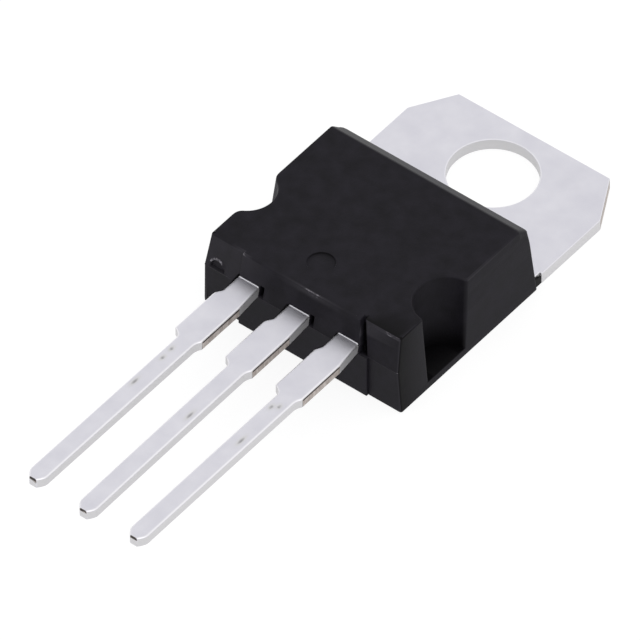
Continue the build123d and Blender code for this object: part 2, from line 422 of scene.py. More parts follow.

# %% [markdown]
# ## Epoxy moulding compound
# The body is epoxy filled with fine silica and carbon black, pressed into a steel mould. It is nearly
# black with a faint violet tone, matte on top where the mould was eroded. The edges lose their skin as
# parts rub against each other in the tube, and there the pale silica shows as thin scratchy lines. A value
# on the mesh tells the material where: 0 on the faces, up to about 1.2 where wear may come and where the
# same pale colour is a painted highlight on lit facets and rims, and down to -1 for painted shade, a near
# black in pockets, slots and other places where shade falls.

# %% Epoxy material
EPOXY_GRAIN = 0.07
EPOXY_CLOUD = 0.6
EPOXY_SCRATCH = 0.06
EPOXY_PATCH = 0.5
EPOXY_ROUGHNESS = (0.5, 0.62)
EPOXY_BUMP = 0.35
CHAMFER_ROUGHNESS = 0.37
CHAMFER_TOP, CHAMFER_BACK = 0.43, 0.86
# Thresholds of the pale mix, which serves both wear and painted highlights.
PALE_START, PALE_FULL, PALE_HAZE = 0.86, 1.35, 0.1


def epoxy():
    """Black moulding compound: dark base with faint clouds, a fine eroded bump, pale worn edges, and pale
    painted highlights and near-black painted shade where the mesh value says.
    """
    material, tree, output = new_material("epoxy_moulding_compound")
    cloud = noise_on_object(tree, EPOXY_CLOUD, 4.0)
    base = mix_colour(tree, cloud, linear("#0B0A0D"), linear("#242229"))
    edge = add_node(tree, "ShaderNodeAttribute", attribute_name="edge").outputs["Fac"]
    patch = noise_on_object(tree, EPOXY_PATCH, 2.0)
    scratch = noise_on_object(tree, EPOXY_SCRATCH, 4.0, (2.2, 1, 1))
    rubbed = calculate(tree, "ADD", patch, scratch)
    rubbed = calculate(tree, "MULTIPLY", edge, rubbed)
    # Pale silica on worn edges, and the same pale colour as a painted highlight where the value marks lit
    # places.
    pale_wear_and_highlight = ramp(tree, rubbed, PALE_START, PALE_FULL)
    soft = calculate(tree, "MULTIPLY_ADD", edge, PALE_HAZE, pale_wear_and_highlight, use_clamp=True)
    colour = mix_colour(tree, soft, base, linear("#86838A"))
    # Painted shade: below 0 the value darkens towards near black in slots, the groove, the right notch, the
    # resin webs and one side of the ejector rim.
    painted_shade = ramp(tree, edge, 0.0, -1.0)
    colour = mix_colour(tree, painted_shade, colour, linear("#050406"))
    place = add_node(tree, "ShaderNodeTexCoord")
    axes = add_node(tree, "ShaderNodeSeparateXYZ", {0: place.outputs["Object"]})
    raised = calculate(tree, "GREATER_THAN", axes.outputs["Z"], (body_height - CHAMFER_TOP) * MM)
    behind = calculate(tree, "GREATER_THAN", axes.outputs["Y"], (rear_y - CHAMFER_BACK) * MM)
    chamfer = calculate(tree, "MULTIPLY", raised, behind)
    dull = spread(tree, cloud, *EPOXY_ROUGHNESS)
    rough = spread(tree, chamfer, dull, CHAMFER_ROUGHNESS)
    grain = noise_on_object(tree, EPOXY_GRAIN, 3.0)
    bump = add_node(tree, "ShaderNodeBump", {"Height": grain, "Strength": EPOXY_BUMP, "Distance": 0.015 * MM})
    shader = add_node(tree, "ShaderNodeBsdfPrincipled", {
        "Base Color": colour, "Roughness": rough, "Specular IOR Level": 0.1, "Normal": bump.outputs[0],
    })
    tree.links.new(shader.outputs[0], output.inputs["Surface"])
    return material


compound = epoxy()
print(compound.name, "has", len(compound.node_tree.nodes), "nodes")

# %% [markdown]
# ## The tab
# The tab is a flat stamping, so it is drawn as its section carried round its outline. The section goes
# over the top, down the outer edge, under the back and up the wall of the hole. A punch drags the top
# edge down before it shears, which leaves a soft rounded roll there and a sharp edge on the back. The
# outline is a list of corners, each rounded a little, and every ray from the hole's centre crosses it once,
# so the hole can use the same rays.

# %% Tab outline
CORNER_CUT_X = 1.15
CORNER_CUT_LEFT = 1.9
CORNER_CUT_RIGHT = 2.12
ENTRY_NOTCH_DEPTH = 0.12
ENTRY_NOTCH_LENGTH = 0.35
DIE_PAD_HALF = 3.6
DIE_PAD_END = -9.86
TAB_ROLL = 0.045
TAB_ROLL_DROP = 0.035
HOLE_ROLL = 0.06
FLAT_RIM = 0.03
TAB_CORNER = 0.03
TAB_BURR = 0.02
TIE_BAR_CUT = 1.2


def round_corner(before, at, after, reach, steps=6):
    """Rows of rounded corners: a quadratic curve from reach short of the corner on one line to reach past
    it on the next.
    """
    def towards(other):
        away = other - at
        return at + away / np.linalg.norm(away, axis=-1, keepdims=True) * np.asarray(reach)[..., None]
    t = np.linspace(0, 1, steps)[:, None]
    start, middle, end = towards(before)[..., None, :], at[..., None, :], towards(after)[..., None, :]
    return (1 - t) ** 2 * start + 2 * t * (1 - t) * middle + t ** 2 * end


def tab_corners(side, corner_cut_y):
    """Corners of one side of the tab, from its free edge down to the end of the die pad."""
    notch_top = rear_y + ENTRY_NOTCH_LENGTH
    neck_y = rear_y - ENTRY_NOTCH_LENGTH
    points = [
        (tab_half - CORNER_CUT_X, tab_top_y), (tab_half, tab_top_y - corner_cut_y), (tab_half, notch_top),
        (tab_half - ENTRY_NOTCH_DEPTH, notch_top), (tab_half - ENTRY_NOTCH_DEPTH, neck_y),
        (DIE_PAD_HALF, neck_y), (DIE_PAD_HALF, DIE_PAD_END),
    ]
    return [(side * x, y) for x, y in points]


def tab_outline(inset):
    """Rows of the tab's outline, moved in by inset at each corner along both of its lines."""
    corners = np.array(tab_corners(1, CORNER_CUT_RIGHT) + tab_corners(-1, CORNER_CUT_LEFT)[::-1])
    into = corners - np.roll(corners, 1, axis=0)
    out = np.roll(corners, -1, axis=0) - corners
    normal_into = np.stack([into[:, 1], -into[:, 0]], -1) / np.linalg.norm(into, axis=1, keepdims=True)
    normal_out = np.stack([out[:, 1], -out[:, 0]], -1) / np.linalg.norm(out, axis=1, keepdims=True)
    bend = normal_into + normal_out
    shift = bend / (1 + (normal_into * normal_out).sum(-1, keepdims=True))
    moved = corners + shift * np.asarray(inset)[:, None, None]
    shapes = []
    for k in range(len(corners)):
        shapes.append(
            round_corner(
                moved[:, k - 1], moved[:, k], moved[:, (k + 1) % len(corners)], TAB_CORNER + 0 * inset
            )
        )
        following = moved[:, (k + 1) % len(corners)]
        margin = (TAB_CORNER + 0.005) / np.linalg.norm(following - moved[:, k], axis=-1)[:, None, None]
        along = margin + (1 - 2 * margin) * np.linspace(0, 1, 24)[None, :, None]
        shapes.append(moved[:, k, None] * (1 - along) + following[:, None] * along)
    return np.concatenate(shapes, axis=1)


roll = np.linspace(0, np.pi / 2, 5)
outer_inset = np.array([TAB_ROLL + FLAT_RIM, *(TAB_ROLL * (1 - np.sin(roll))), 0, 0, TAB_BURR])
outer_height = np.array(
    [tab_thickness, *(tab_thickness - TAB_ROLL_DROP * (1 - np.cos(roll))), 0.2, TAB_BURR, 0]
)
# On the outer edge and the hole, the rolled rows get -0.5, a painted highlight, and the walls SHEARED.
outer_value = np.array([0, 0, -0.5, -0.5, 0, SHEARED, SHEARED, SHEARED, 0])
hole_inset = np.array([TAB_BURR, 0, 0, *(HOLE_ROLL * (1 - np.sin(roll[::-1]))), HOLE_ROLL + FLAT_RIM])
hole_height = np.array(
    [0, TAB_BURR, 0.2, *(tab_thickness - TAB_ROLL_DROP * (1 - np.cos(roll[::-1]))), tab_thickness]
)
hole_value = np.array([0, SHEARED, SHEARED, SHEARED, 0, -0.5, -0.5, 0, 0])
print("outline rows", len(outer_inset), "first corner", tab_corners(1, CORNER_CUT_RIGHT)[0])

# %% Tab surface
def tab_surface():
    """The tab: rows go round its section, columns go round its outline, and both close on themselves."""
    outline = tab_outline(outer_inset)
    outer = np.concatenate(
        [outline, np.broadcast_to(outer_height[:, None, None], (*outline.shape[:2], 1))], -1
    )
    angle = np.arctan2(outline[0, :, 1], outline[0, :, 0])
    radius = hole_radius + hole_inset[:, None]
    height = np.broadcast_to(hole_height[:, None], (len(hole_height), len(angle)))
    hole = np.stack([radius * np.cos(angle), radius * np.sin(angle), height], -1)
    is_cut = (outline[0, :, 0] > tab_half - CORNER_CUT_X) & (outline[0, :, 1] > tab_top_y - CORNER_CUT_RIGHT)
    wall = (outer_value == SHEARED)[:, None] * is_cut
    values = np.concatenate(
        [
            np.where(wall, TIE_BAR_CUT, outer_value[:, None]),
            np.broadcast_to(hole_value[:, None], hole.shape[:2]),
        ]
    )
    return grid(np.concatenate([outer, hole]), values, ring=True, loop=True)


tab_part = tab_surface()
print("tab surface:", len(tab_part[1]), "faces")

# %% [markdown]
# ## The leads
# Each lead is cut from the same strip by a punch. A rounded section is carried along the lead: its two
# edges follow the plan outline, which widens where a tie bar joined the leads, narrows at the shoulders
# and ends in a blunt point. The top edges are rolled over, the bottom ones sharp. The sides of the wide
# part are cut faces of bare copper. The centre lead starts as a strap bent up from the die pad.

# %% Lead outline and section
NECK_LEFT, NECK_RIGHT = 0.53, 0.5
NECK_SHIFT = {-1: -0.05, 0: -0.04, 1: -0.1}
WIDE_LEFT, WIDE_RIGHT = 0.79, 0.55
NARROW_HALF = 0.41
TIP_HALF = 0.18
LEAD_EXIT = tip_y + 13.7
WIDEN_START = LEAD_EXIT - 0.93
WIDEN_LENGTH = 0.45
SHOULDER_START = LEAD_EXIT - 3.78
SHOULDER_LENGTH = 0.42
TAPER_LENGTH = 0.42
LEAD_ROLL = 0.09
LEAD_ROLL_DROP = 0.07
DARK_SHARE = 0.66
DARK_FADE = 0.04


def lead_edges(y, post_left, post_right, post_rear, post_front, shift):
    """Distances of the left and right edges from the lead's axis at each y: neck, wide part, shoulder,
    narrow part, point. The widening is a smooth step, and the shoulder starts sharp and ends in a curve.
    """
    widen = smooth((WIDEN_START - y) / WIDEN_LENGTH)
    narrow = 1 - (1 - np.clip((SHOULDER_START - y) / SHOULDER_LENGTH, 0, 1)) ** 2.2
    taper = np.clip((tip_y + TAPER_LENGTH - y) / TAPER_LENGTH, 0, 1) ** 1.7
    inside = (y > post_front) & (y < post_rear)
    point = (NARROW_HALF - TIP_HALF) * taper
    neck_left, neck_right = NECK_LEFT - shift, NECK_RIGHT + shift
    left = neck_left + (WIDE_LEFT - neck_left) * widen - (WIDE_LEFT - NARROW_HALF) * narrow - point
    spread = np.clip((LEAD_EXIT - y) / (LEAD_EXIT - WIDEN_START + WIDEN_LENGTH), 0, 1)
    right = neck_right + (WIDE_RIGHT - neck_right) * spread - (WIDE_RIGHT - NARROW_HALF) * narrow - point
    return np.where(inside, post_left, left), np.where(inside, post_right, right)


def lead_section():
    """One turn round the section: share of the way from left to right, inset, height share, and the value
    on plated and on cut sides.
    """
    across = np.linspace(0, 1, 15)
    turn = np.linspace(0, np.pi / 2, 5)[1:]
    roll_inset = LEAD_ROLL * (1 - np.sin(turn))
    roll_height = 1 - LEAD_ROLL_DROP / lead_thickness * (1 - np.cos(turn))
    # Painted highlight along the rolled top edges of the lead.
    roll_value = np.array([-0.4, -1.0, -0.6, 0.0])
    side_height = np.array([0.82, 0.72, DARK_SHARE, DARK_SHARE - DARK_FADE, 0.4, 0.15, 0.04])
    # Sheared sides: greyer, partly for thinner plating and partly as painted shade.
    side_value = np.full(len(side_height), SHEARED)
    # The top of a cut side gets 2.0 and 1.8, the dark line; below it cut copper.
    cut_value = np.array([2.0, 2.0, 1.8, 1.0, 1.0, 1.0, 0.6])
    flat, sides = np.zeros(len(across)), len(turn) + len(side_height)
    share = np.concatenate([across, np.ones(sides), [1, 0.5, 0], np.zeros(sides)])
    inset = np.concatenate([
        LEAD_ROLL * (1 - 2 * across), -roll_inset, 0 * side_height,
        [-0.02, 0, 0.02], 0 * side_height, roll_inset[::-1],
    ])
    height = np.concatenate(
        [flat + 1, roll_height, side_height, [0, 0, 0], side_height[::-1], roll_height[::-1]]
    )
    plated = np.concatenate([flat, roll_value, side_value, np.zeros(3), side_value, roll_value[::-1]])
    cut = np.concatenate([flat, roll_value, cut_value, np.zeros(3), cut_value[::-1], roll_value[::-1]])
    return share, inset, height, plated, cut


print("section columns", len(lead_section()[0]))

# %% Lead surface
DENT_DEPTH = 0.045
END_BEVEL = np.array([0.86, 1, 0.9])
BEAD_Y, BEAD_HEIGHT, BEAD_WIDTH = LEAD_EXIT - 0.02, 0.016, 0.03


def lead_surface(axis_x, y, middle_z, thickness, edges, dents, tip_drop):
    """A lead: the section placed at each step of its path, square to the path, with shallow dents in the
    top face.
    """
    left, right = edges
    share, inset, height, plated, cut = lead_section()
    x = -left[:, None] * (1 - share) + right[:, None] * share + inset
    droop = tip_drop * np.clip((LEAD_EXIT - y) / (LEAD_EXIT - tip_y), 0, 1) ** 2
    slope_y, slope_z = np.gradient(y), np.gradient(middle_z - droop)
    length = np.hypot(slope_y, slope_z)
    normal_y, normal_z = (slope_z / length)[:, None], (-slope_y / length)[:, None]
    rise = (height - 0.5) * thickness[:, None]
    along = np.maximum(y[:, None] + normal_y * rise, tip_y)
    up = (middle_z - droop)[:, None] + normal_z * rise
    is_cut = smooth((WIDEN_START - WIDEN_LENGTH - y) / 0.03) * smooth((y - SHOULDER_START) / 0.03)
    value = plated + (cut - plated) * is_cut[:, None]
    for dent_x, dent_y, long_x, long_y in dents:
        hollow = np.exp(-((x - dent_x) / long_x) ** 2 - ((along - dent_y) / long_y) ** 2) * (height > 0.9)
        up = up - DENT_DEPTH * hollow
        value = value + SMUDGED * hollow
    bead = np.exp(-((along - BEAD_Y) / BEAD_WIDTH) ** 2)
    up = up - BEAD_HEIGHT * (height > 0.9) * (1 - bead)
    # Painted highlight: a paler line on the bead where the lead leaves the moulding.
    value = np.where(value < SHEARED, value - 0.5 * bead, value)
    rim = np.stack([axis_x + x[-1], along[-1], up[-1]], -1)
    centre = rim.mean(0)
    end = centre + (rim - centre) * END_BEVEL
    upper, lower = height >= DARK_SHARE - 0.001, height <= DARK_SHARE - 0.039
    face = grid(np.stack([rim, end]), np.stack([np.zeros(len(height)), np.where(upper, 2.0, SHEARED)]))
    middle = ~lower & ((height <= DARK_SHARE + 0.001)) | (np.abs(height - DARK_SHARE + DARK_FADE) < 0.001)
    start = np.stack([axis_x + x[0], along[0], up[0]], -1)
    body = grid(np.stack([axis_x + x, along, up], -1), value)
    return [body, face, cap(end[upper], 2.0), cap(end[middle], 1.0), cap(end[lower], SHEARED), cap(start)]


DIMPLES_FROM, DIMPLES_TO = -18.9, -20.1


def lead_steps(start):
    """Places along a lead, from start inside the moulding to the tip: closer together where the outline
    changes.
    """
    marks = [
        np.linspace(start, LEAD_EXIT, 8),
        np.linspace(LEAD_EXIT + 0.08, LEAD_EXIT - 0.14, 18),
        np.linspace(LEAD_EXIT, WIDEN_START, 12),
        np.linspace(WIDEN_START, WIDEN_START - WIDEN_LENGTH, 16),
        np.linspace(WIDEN_START - WIDEN_LENGTH, WIDEN_START - WIDEN_LENGTH - 0.06, 5),
        np.linspace(SHOULDER_START + 2.2, SHOULDER_START, 30),
        np.linspace(
            SHOULDER_START, SHOULDER_START - SHOULDER_LENGTH, 14
        ), np.linspace(SHOULDER_START - SHOULDER_LENGTH, DIMPLES_FROM, 20),
        np.linspace(DIMPLES_FROM, DIMPLES_TO, 40), np.linspace(
            DIMPLES_TO, tip_y + TAPER_LENGTH, 50
        ), np.linspace(tip_y + TAPER_LENGTH, tip_y, 12),
    ]
    steps = np.concatenate(marks)
    return -np.unique(np.round(-steps, 5))


print("steps on a lead:", len(lead_steps(-12.0)))

# %% Leads and tab as pieces
POST_REAR, POST_FRONT = -10.86, -11.66
POST_HALF = 0.9
POST_SHIFT = 0.4
STRAP_START = DIE_PAD_END + 0.3
STRAP_TOP = -11.36
STRAP_HALF = 0.75
STRAP_THINNING = 0.06
DENTS = {
    -1: [(-0.18, -19.49, 0.09, 0.28), (-0.16, -17.2, 0.1, 0.16), (-0.13, -17.8, 0.1, 0.16)],
    0: [(0.13, -19.56, 0.09, 0.3)],
    1: [(0.06, -19.42, 0.09, 0.3), (-0.16, -17.24, 0.1, 0.16), (0.08, -17.04, 0.1, 0.14)],
}
TIP_DROPS = {-1: 0.0, 0: 0.15, 1: 0.03}


def side_lead(side):
    """A side lead: straight from the bonding post inside the moulding to its tip."""
    posts = np.linspace(POST_REAR, POST_FRONT, 4)
    y = -np.unique(np.round(-np.concatenate([posts, lead_steps(POST_FRONT - 0.001)]), 5))
    post_left = POST_HALF - side * POST_SHIFT
    post_right = POST_HALF + side * POST_SHIFT
    edges = lead_edges(y, post_left, post_right, POST_REAR + 1, POST_FRONT - 0.0005, NECK_SHIFT[side])
    middle = np.full(len(y), (lead_top + lead_bottom) / 2)
    return lead_surface(
        side * lead_pitch, y, middle, np.full(len(y), lead_thickness), edges, DENTS[side], TIP_DROPS[side]
    )


def centre_lead():
    """The centre lead: a strap that leaves the die pad, bends up to the height of the leads and runs on to
    its tip.
    """
    strap = np.linspace(STRAP_START, STRAP_TOP, 24)
    y = -np.unique(np.round(-np.concatenate([strap, lead_steps(STRAP_TOP - 0.001)]), 5))
    edges = lead_edges(y, STRAP_HALF, STRAP_HALF, STRAP_START + 1, STRAP_TOP - 0.0005, NECK_SHIFT[0])
    rise = smooth((DIE_PAD_END - y) / (DIE_PAD_END - STRAP_TOP))
    middle = tab_thickness / 2 + ((lead_top + lead_bottom) / 2 - tab_thickness / 2) * rise
    thickness = np.full(len(y), lead_thickness) - STRAP_THINNING * (1 - rise)
    return lead_surface(0.0, y, middle, thickness, edges, DENTS[0], TIP_DROPS[0])


make_piece("tab_stamping", [tab_part, *centre_lead()], tin, ["tab_and_centre_lead"], "plating_and_light")
make_piece("left_lead_stamping", side_lead(-1), tin, ["left_lead"], "plating_and_light")
make_piece("right_lead_stamping", side_lead(1), tin, ["right_lead"], "plating_and_light")

# %% [markdown]
# ## The moulding
# The epoxy body is one closed surface with two directions: round its plan outline, and up its height. At
# each height the outline is worked out again, so the drafted sides, the parting line, the chamfer at the
# rear, the raised pad round the leads and the tapered side notches all come from one function. Corners
# are rounded in plan, and the top edge rolls over by moving the outline in as it rises the last bit. The
# mould left two marks: the disc of the ejector pin on top and the broken gate on the left of the end. It
# also leaked a little, so thin webs of resin stand beside the necks and at the tab's right entry notch.
# The webs are painted near black, partly as painted shade beside the necks. The ejector rim, the gate's
# lip, a facet by the pad and the left notch carry painted highlights, and the slots, the groove and the
# right notch carry painted shade.

# %% Plan outline of the moulding
SIDE_DRAFT = np.tan(np.radians(4.5))
REAR_DRAFT = np.tan(np.radians(4.6))
END_DRAFT_LOWER = np.tan(np.radians(3.0))
END_DRAFT_UPPER = np.tan(np.radians(11.5))
BODY_LENGTH = 8.68
CHAMFER_HEIGHT, CHAMFER_DEPTH = 0.41, 0.57
PAD_PROUD = 0.12
PAD_LEFT, PAD_RIGHT = 3.10, 3.42
PAD_STEP = 0.3
GUSSET_WIDTH, GUSSET_HEIGHT = 0.7, 0.85
NOTCH_RADIUS = 1.38
NOTCH_DRAFT = np.tan(np.radians(4.2))
NOTCH_OUTSIDE = {-1: 0.37, 1: 0.205}
NOTCH_TRIM = {-1: 0.12, 1: 0.0}
NOTCH_SHIFT = -0.1
NOTCH_TO_END = 3.03
NOTCH_LEAN = 0.2
NOTCH_LEDGE = 0.36
NOTCH_ROUND = {-1: 0.3, 1: 0.16}
GATE_X, GATE_HALF, GATE_HEIGHT, GATE_DEPTH = -4.28, 0.38, 0.5, 0.14
SLOT_WIDTH, SLOT_DEPTH, SLOT_HEIGHT = 0.2, 0.3, 0.56
GROOVE_WIDTH, GROOVE_DEPTH = 0.24, 0.22
PARTING_FLASH = 0.015
CHAMFER_SOFTNESS = 0.02
SMALL_ROUND = 0.035
GATE_FROM, GATE_TO = -4.76, -3.8
WEB_LENGTH, WEB_WIDTH, WEB_TOP = 1.25, 0.17, lead_top - 0.06
WEB_END, WEB_DROP = 0.01, 0.08

parting_z = lead_bottom
end_base = rear_y - BODY_LENGTH
end_parting = end_base - parting_z * END_DRAFT_LOWER
top_half = base_half - body_height * SIDE_DRAFT
chamfer_z = body_height - CHAMFER_HEIGHT
chamfer_y = rear_y - chamfer_z * REAR_DRAFT


def pair(x, y):
    """Rows of points from rows of x and rows of y."""
    return np.stack(np.broadcast_arrays(x, y), axis=-1)


def notch_columns(side, z, half, inset, is_open):
    """One side notch, rear to front: an arc about a leaning axis, with a small round where it meets the
    side at each end.
    """
    axis_x = side * (top_half + NOTCH_OUTSIDE[side]) + NOTCH_SHIFT
    axis_y = (
        end_base + NOTCH_TO_END
        - NOTCH_LEAN * (body_height - np.maximum(z, NOTCH_LEDGE)) / (body_height - NOTCH_LEDGE)
    )
    radius = (
        NOTCH_RADIUS - NOTCH_TRIM[side] - (body_height - np.maximum(z, NOTCH_LEDGE)) * NOTCH_DRAFT + inset
    )
    half_angle = np.arccos((side * axis_x - half) / radius)
    reach = NOTCH_ROUND[side]
    def on_arc(angle):
        return pair(
            axis_x - side * radius[:, None] * np.cos(angle),
            axis_y[:, None] + radius[:, None] * np.sin(angle),
        )
    turn = np.linspace(1, -1, 31)
    arc = on_arc((half_angle - reach / radius)[:, None] * turn)
    ends = on_arc(half_angle[:, None] * np.array([1, -1]))
    above = pair(side * half, ends[:, 0, 1] + 1)
    below = pair(side * half, ends[:, 1, 1] - 1)
    upper = round_corner(above, ends[:, 0], arc[:, 0], reach + 0 * z)
    lower = round_corner(arc[:, -1], ends[:, 1], below, reach + 0 * z)
    notch = np.concatenate([upper, arc[:, 1:-1], lower], axis=1)
    notch[..., 0] = side * half[:, None] + (notch[..., 0] - side * half[:, None]) * is_open[:, None]
    return notch


def pad_marks(x, z):
    """How far the lead end is pushed in at (x, z): the gate's half-round pocket and a narrow slot beside
    each neck.
    """
    gate = ((x - GATE_X) / GATE_HALF) ** 2 + ((z - parting_z) / GATE_HEIGHT) ** 2
    pocket = GATE_DEPTH * smooth((1 - gate) / 0.25) * (z > parting_z + 0.02)
    lip = -0.06 * np.exp(-((gate - 1.15) / 0.2) ** 2) * smooth((z - parting_z - 0.25) / 0.1)
    slots = 0
    for axis_x in (-lead_pitch, 0, lead_pitch):
        across = (
            smooth((x - axis_x - NECK_RIGHT + 0.02) / 0.02)
            * smooth((axis_x + NECK_RIGHT + SLOT_WIDTH - x) / 0.02)
        )
        slots = slots + across
    height = smooth((z - parting_z) / 0.03) * smooth((parting_z + SLOT_HEIGHT - z) / 0.05)
    return pocket + lip + SLOT_DEPTH * slots * height


def end_face(z):
    """Place of the moulding's lead end at height z: upright below the parting line, leaning in above it."""
    return end_parting + np.maximum(z - parting_z, 0) * END_DRAFT_UPPER


def body_outline(z, inset, is_open):
    """Plan outline of the moulding at each height: rows of points, counter-clockwise from the rear right
    corner.
    """
    upper = np.maximum(z - parting_z, 0)
    half = base_half - z * SIDE_DRAFT - inset
    straight = rear_y - z * REAR_DRAFT
    sloped = chamfer_y - (z - chamfer_z) * CHAMFER_DEPTH / CHAMFER_HEIGHT
    rear = (straight + sloped - np.sqrt((straight - sloped) ** 2 + CHAMFER_SOFTNESS ** 2)) / 2 - inset
    end = end_face(z) + inset
    pad = end - PAD_PROUD
    right = PAD_RIGHT - inset - np.where(z > parting_z, PAD_STEP, 0) - upper * END_DRAFT_UPPER
    root = right + GUSSET_WIDTH * np.clip((z - body_height + GUSSET_HEIGHT) / GUSSET_HEIGHT, 0, 1)
    left = -PAD_LEFT + inset
    low = np.clip((parting_z - z) / parting_z, 0, 1)
    high = smooth((z - 2.6) / 0.8)
    small = SMALL_ROUND + 0 * z
    corners = [
        pair(half, rear), pair(-half, rear), pair(-half, end), pair(left, end), pair(left, pad),
        pair(right, pad), pair(root, end), pair(half, end),
    ]
    near_top = smooth((body_height - z) / 0.35)
    reaches = [
        0.13 + 0.12 * high, 0.1 + 0.28 * high * near_top, 0.06 + 0.32 * low, small, small, small, small,
        0.12 + 0 * z,
    ]
    rounded = [round_corner(corners[k - 1], corners[k], corners[(k + 1) % 8], reaches[k]) for k in range(8)]
    sunk = end + GROOVE_DEPTH * smooth((z - parting_z) / 0.02)
    far = right + GROOVE_WIDTH
    groove = np.stack([
        pair(right, sunk), pair(far, sunk), pair(far + 0.01, end), pair(np.maximum(root, far + 0.03), end),
        pair(np.maximum(root, far + 0.03) + 0.03, end),
    ], axis=1)
    gate_x = np.linspace(GATE_FROM, GATE_TO, 36)
    gate_face = pair(gate_x[None, :], end[:, None])
    lead_x = np.sort(np.concatenate([
        np.linspace(-2.9, 2.8, 20),
        *[
            axis_x + NECK_RIGHT + np.array(
                [-0.02, -0.005, 0.01, 0.1, SLOT_WIDTH - 0.02, SLOT_WIDTH - 0.01, SLOT_WIDTH]
            )
            for axis_x in (-lead_pitch, 0, lead_pitch)
        ],
    ]))
    lead_x = lead_x[lead_x < 3.31]
    fit = np.clip(lead_x[None, :], None, (right - 0.045)[:, None])
    fit = np.minimum(fit, (right[:, None] - 0.045) - 0.004 * np.arange(len(lead_x))[::-1])
    pad_face = pair(fit, pad[:, None])
    left_notch = notch_columns(-1, z, half, inset, is_open)
    right_notch = notch_columns(1, z, half, inset, is_open)[:, ::-1]
    order = [
        rounded[0], rounded[1], left_notch, rounded[2], gate_face, rounded[3], rounded[4], pad_face,
        rounded[5], groove, rounded[7], right_notch,
    ]
    return np.concatenate(order, axis=1)


print(
    "moulding outline has", body_outline(np.array([1.0]), np.array([0.0]), np.array([1.0])).shape[1],
    "columns",
)

# %% Moulding surface
LEAD_END_LIMIT = -11.9
# Full painted shade, for the slots, the groove and the resin webs.
POCKET_SHADE = -1.0
WEAR_CENTRE, WEAR_SPREAD = 0.4, 1.1
TOP_CLEAR, NOTCH_CLEAR, SPOT_HEIGHT = 0.1, 0.8, 0.14
# The gusset, gate-lip and left-notch values paint pale highlights; the under-edge value marks wear.
GUSSET_PAINTED_HIGHLIGHT, GATE_LIP_PAINTED_HIGHLIGHT, UNDER_EDGE_WEAR, NOTCH_PAINTED_HIGHLIGHT = 0.7, 1.15, 0.84, 0.8
BACK_RECESS = 0.02
BASE_ROUND = 0.02
TOP_ROUND = 0.06
EJECTOR_RADIUS, EJECTOR_DEPTH = 0.6, 0.05
EJECTOR_X, EJECTOR_TO_END = -0.33, 1.6


def body_rows():
    """Height, inset and notch opening of each row, from the rounded base to the rolled top edge."""
    turn = np.linspace(0, np.pi / 2, 6)
    base_z = BACK_RECESS + BASE_ROUND * (1 - np.cos(turn))
    base_inset = BASE_ROUND * (1 - np.sin(turn))
    wall_z = np.concatenate([
        [0.2, NOTCH_LEDGE - 0.02, NOTCH_LEDGE], [NOTCH_LEDGE], np.linspace(0.45, parting_z - 0.05, 8),
        parting_z + np.array([-0.02, -0.008, 0.0]), parting_z + np.array([1e-6, 0.008, 0.02]),
        np.linspace(parting_z + 0.05, parting_z + 0.7, 22), [body_height - GUSSET_HEIGHT, 3.05, 3.2],
        np.linspace(chamfer_z - 0.05, chamfer_z + 0.05, 8), np.linspace(
            chamfer_z + 0.1, body_height - TOP_ROUND - 0.015, 8
        ),
    ])
    flash = PARTING_FLASH * np.exp(-((wall_z - parting_z) / 0.01) ** 2)
    top_z = body_height - TOP_ROUND * (1 - np.sin(turn))
    top_inset = TOP_ROUND * (1 - np.cos(turn))
    z = np.concatenate([base_z, wall_z, top_z, [body_height]])
    inset = np.concatenate([base_inset, 0 * wall_z, top_inset, [TOP_ROUND + 0.03]])
    flash = np.concatenate([0 * base_inset, flash, 0 * top_inset, [0]])
    is_open = np.concatenate([np.zeros(len(base_z) + 2), [0.03], np.ones(len(z) - len(base_z) - 3)])
    edge = np.concatenate([np.zeros(len(base_z) + len(wall_z)), np.sin(turn * 2) * 0.6 + 0.4, [0.0]])
    return z, inset, is_open, edge, flash


def resin_web(outer_x, start_y, reach, width, low_z, high_z):
    """A thin web of resin left where the mould leaked: a rectangle carried away from the body that narrows
    to nothing, painted near black with the painted-shade value.
    """
    along = np.linspace(0, 1, 9)
    y = start_y + reach * along
    wide = width * (1 - along ** 2) + WEB_END
    top = high_z - WEB_DROP * along
    x = np.stack([outer_x - wide, outer_x + 0 * wide, outer_x + 0 * wide, outer_x - wide], 1)
    z = np.stack([top, top, low_z + 0 * top, low_z + 0 * top], 1)
    ring = np.stack([x, np.broadcast_to(y[:, None], x.shape), z], -1)
    return [grid(ring, POCKET_SHADE), cap(ring[0], POCKET_SHADE), cap(ring[-1], POCKET_SHADE)]


